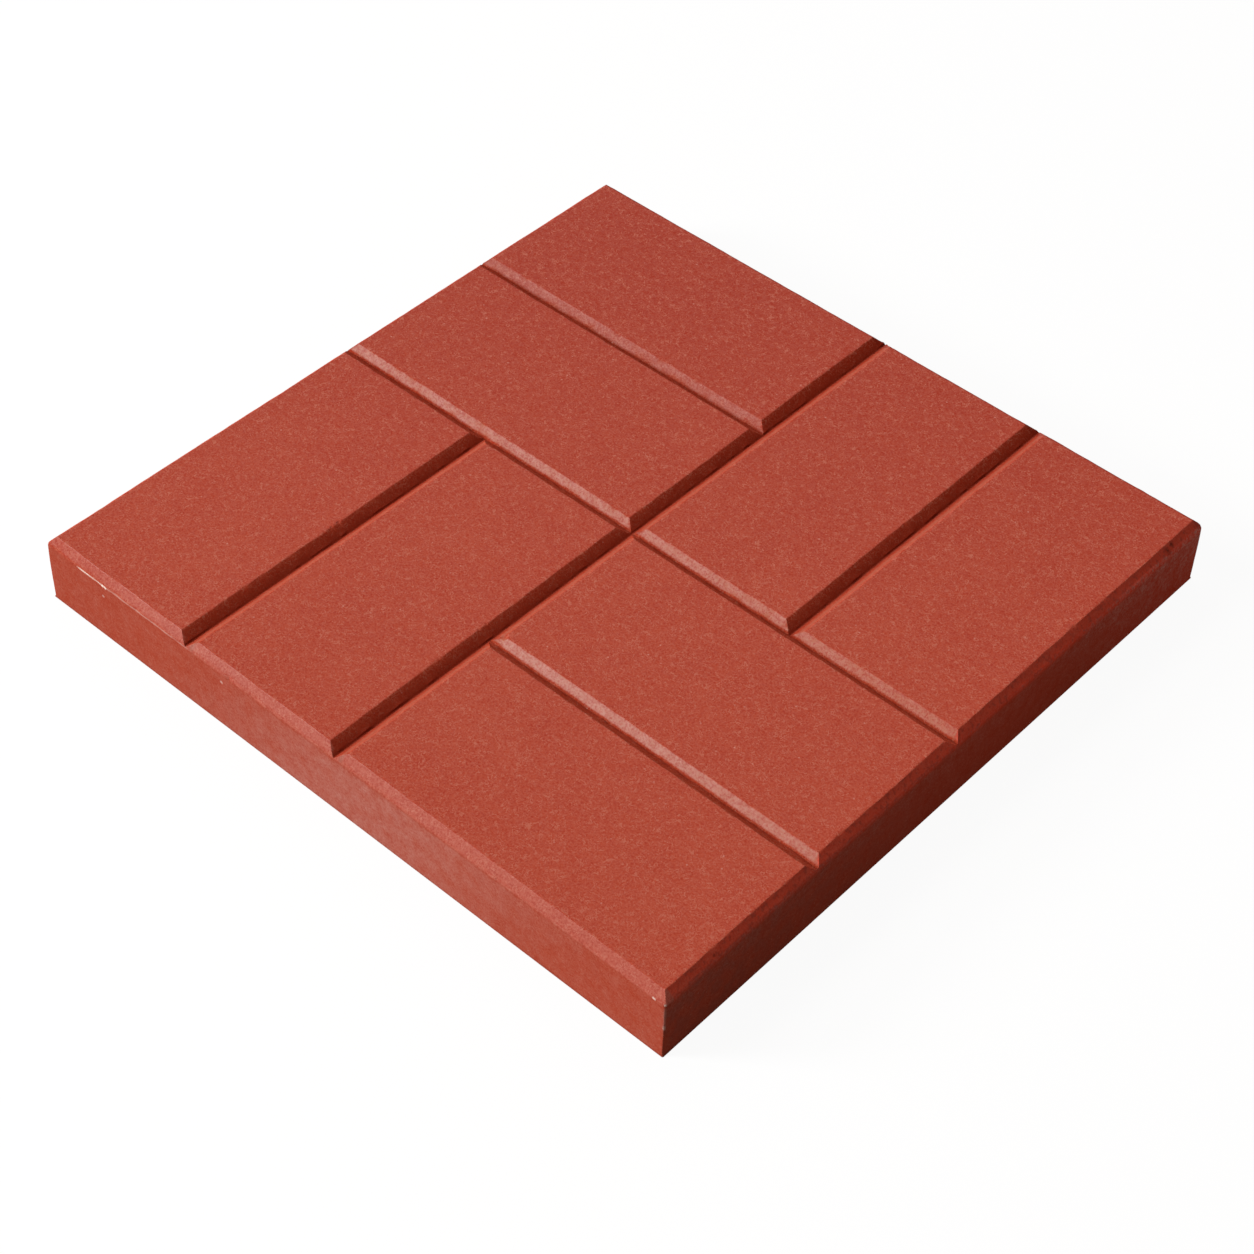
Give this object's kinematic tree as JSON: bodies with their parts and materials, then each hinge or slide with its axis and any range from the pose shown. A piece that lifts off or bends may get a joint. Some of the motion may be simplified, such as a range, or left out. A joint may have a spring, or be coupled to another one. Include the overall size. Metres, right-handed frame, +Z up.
{
  "type": "concrete paving stone",
  "caption": "Square red concrete paving stone whose face is moulded with V joints as a brick basket weave, with chamfered edges and a flat bed, for laying paths and patios.",
  "frame": {"origin": "middle of the bed, the flat underside that the stone lies on", "axes": "+Z up through the moulded face, X and Y along the sides of the square"},
  "size_m": [0.4, 0.4, 0.04],
  "materials": {
    "red_concrete": "matte as-cast face of concrete pigmented red throughout, fine grain with pale flecks"
  },
  "bodies": {
    "root": {"paving_stone": "red_concrete"}
  },
  "joints": []
}
